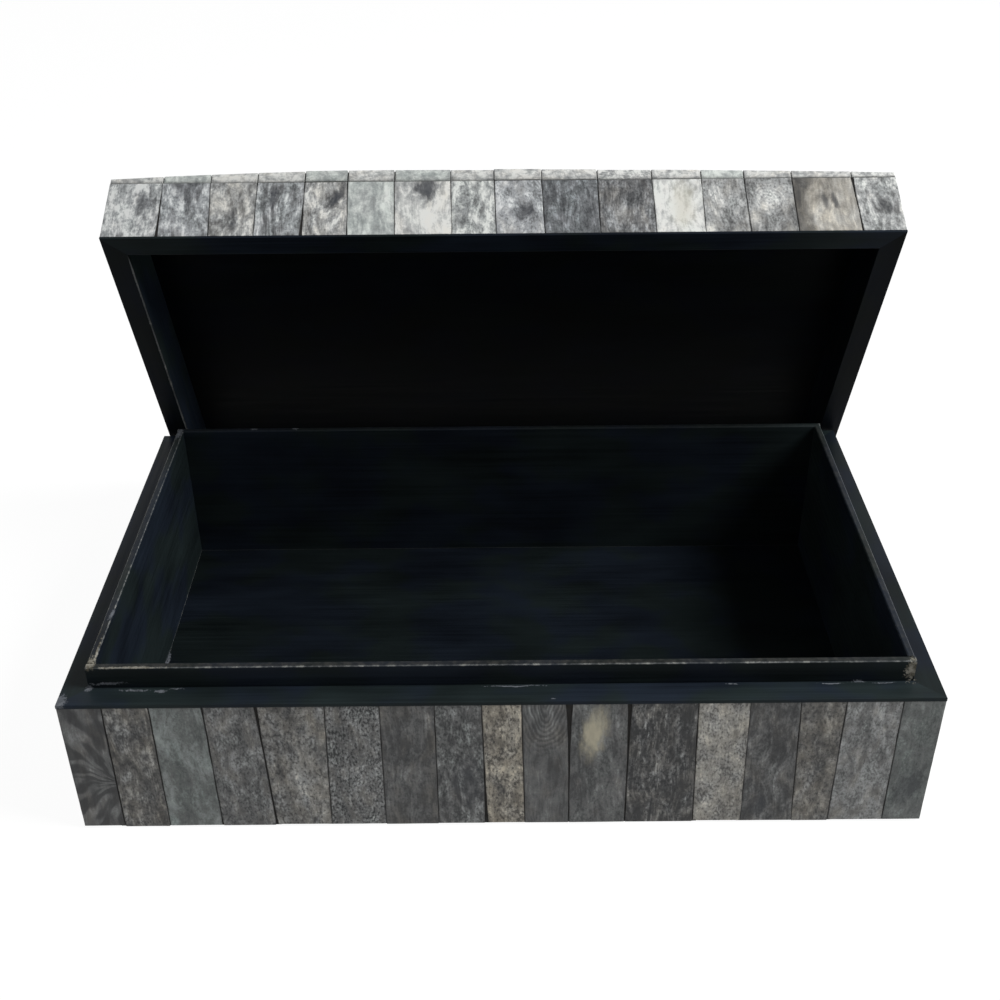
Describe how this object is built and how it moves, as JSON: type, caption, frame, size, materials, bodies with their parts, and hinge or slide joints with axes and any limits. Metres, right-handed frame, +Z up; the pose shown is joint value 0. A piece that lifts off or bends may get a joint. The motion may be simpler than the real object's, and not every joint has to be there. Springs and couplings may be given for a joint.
{
  "type": "bone veneered keepsake box",
  "caption": "Rectangular keepsake box veneered with grey bone tiles, black lacquered inside with a raised lip, its lift-off lid leaning behind it.",
  "frame": {"origin": "centre of the base's felt underside, at table height", "axes": "+X to the right along the box, +Y to the back where the lid leans, +Z up"},
  "size_m": [0.3074, 0.2486, 0.1868],
  "materials": {
    "bone_tile": "polished grey-stained bone, mottled, satin",
    "black_lacquered_wood": "satin black lacquer on wood, brushed, worn to bare wood at the arrises",
    "black_felt": "short dense felt"
  },
  "bodies": {
    "base": {"felt_pad": "black_felt", "bottom_panel": "black_lacquered_wood", "base_front_board": "black_lacquered_wood", "base_back_board": "black_lacquered_wood", "base_left_board": "black_lacquered_wood", "base_right_board": "black_lacquered_wood", "lining_front": "black_lacquered_wood", "lining_back": "black_lacquered_wood", "lining_left": "black_lacquered_wood", "lining_right": "black_lacquered_wood", "base_rim_front": "black_lacquered_wood", "base_rim_back": "black_lacquered_wood", "base_rim_left": "black_lacquered_wood", "base_rim_right": "black_lacquered_wood", "base_front_tiles": "bone_tile", "base_back_tiles": "bone_tile", "base_left_tiles": "bone_tile", "base_right_tiles": "bone_tile"},
    "lid": {"lid_front_board": "black_lacquered_wood", "lid_back_board": "black_lacquered_wood", "lid_left_board": "black_lacquered_wood", "lid_right_board": "black_lacquered_wood", "lid_top_panel": "black_lacquered_wood", "lid_rim_front": "black_lacquered_wood", "lid_rim_back": "black_lacquered_wood", "lid_rim_left": "black_lacquered_wood", "lid_rim_right": "black_lacquered_wood", "lid_front_tiles": "bone_tile", "lid_back_tiles": "bone_tile", "lid_left_tiles": "bone_tile", "lid_right_tiles": "bone_tile", "lid_top_slabs_front": "bone_tile", "lid_top_slabs_middle": "bone_tile", "lid_top_slabs_back": "bone_tile"}
  },
  "joints": [
    {"name": "lid_lift", "type": "slide", "parent": "base", "child": "lid", "axis": [0, 0, 1], "range_m": [0, 0.12]}
  ]
}
